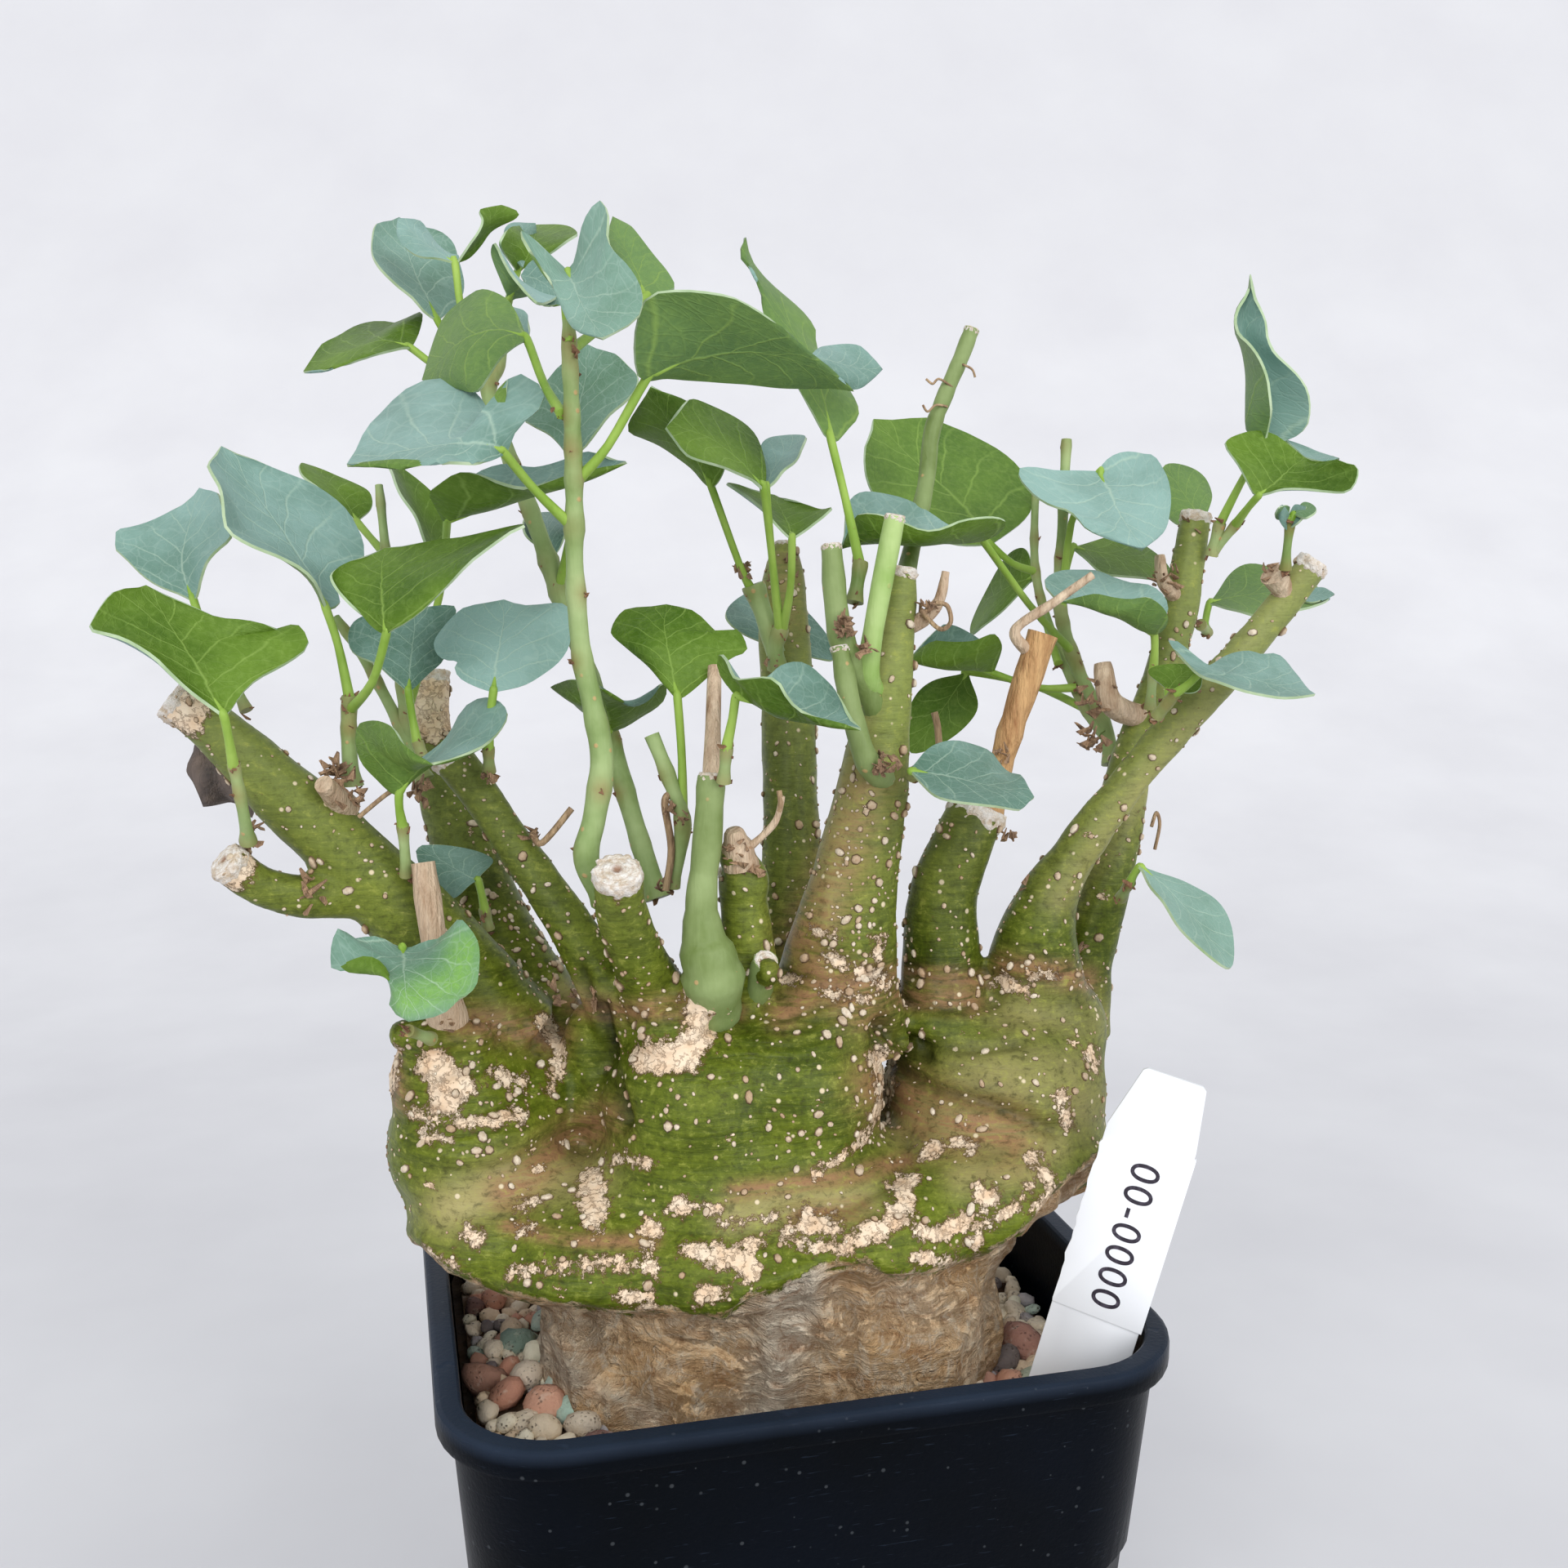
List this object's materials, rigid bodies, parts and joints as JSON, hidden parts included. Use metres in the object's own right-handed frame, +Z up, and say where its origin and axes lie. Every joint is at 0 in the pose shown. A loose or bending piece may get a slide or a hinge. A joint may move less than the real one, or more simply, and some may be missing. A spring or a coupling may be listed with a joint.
{
  "type": "potted adenia",
  "caption": "Succulent with a fat lobed green caudex, cut trunks and small blue-green leaves, in a square black slit pot with stones and a blank label.",
  "frame": {"origin": "centre of the pot's foot face, on the surface that the pot stands on", "axes": "+Z up; the pot's front wall, nearest in the picture, faces -Y; +X to the right"},
  "size_m": [0.2032, 0.1181, 0.2693],
  "materials": {
    "pot": "dark blue-black moulded plastic, semi-matt with fine scuffs",
    "soil": "dark potting mix, matt and crumbly",
    "gravel": "mixed tan, red, brown and grey pumice and lava grains, matt",
    "label": "white plastic tag with a band of white tape, satin",
    "caudex": "green waxy bark with cream corky spots, tan fibrous bark at the base",
    "leaf": "thin waxy leaf, blue-green bloom above and fresh green below"
  },
  "bodies": {
    "root": {"caudex": "caudex", "gravel": "gravel", "label": "label", "leaf_back_left": "leaf", "leaf_back_middle": "leaf", "leaf_back_right": "leaf", "leaf_back_top": "leaf", "leaf_cup_left": "leaf", "leaf_front_low": "leaf", "leaf_knot_left": "leaf", "leaf_knot_right": "leaf", "leaf_left_far": "leaf", "leaf_left_low": "leaf", "leaf_long_right": "leaf", "leaf_right_low": "leaf", "leaf_right_roof": "leaf", "leaf_right_side": "leaf", "leaf_right_top": "leaf", "leaf_stick_side": "leaf", "leaf_tiny_bright": "leaf", "leaf_trunk_right": "leaf", "pot": "pot", "shoot_left_thin": "leaf", "shoot_left_upright": "leaf", "shoot_middle": "leaf", "shoot_red_tip": "leaf", "shoot_right_thin": "leaf", "shoot_tall_back": "leaf", "shoot_tall_front": "leaf", "soil": "soil"}
  },
  "joints": []
}
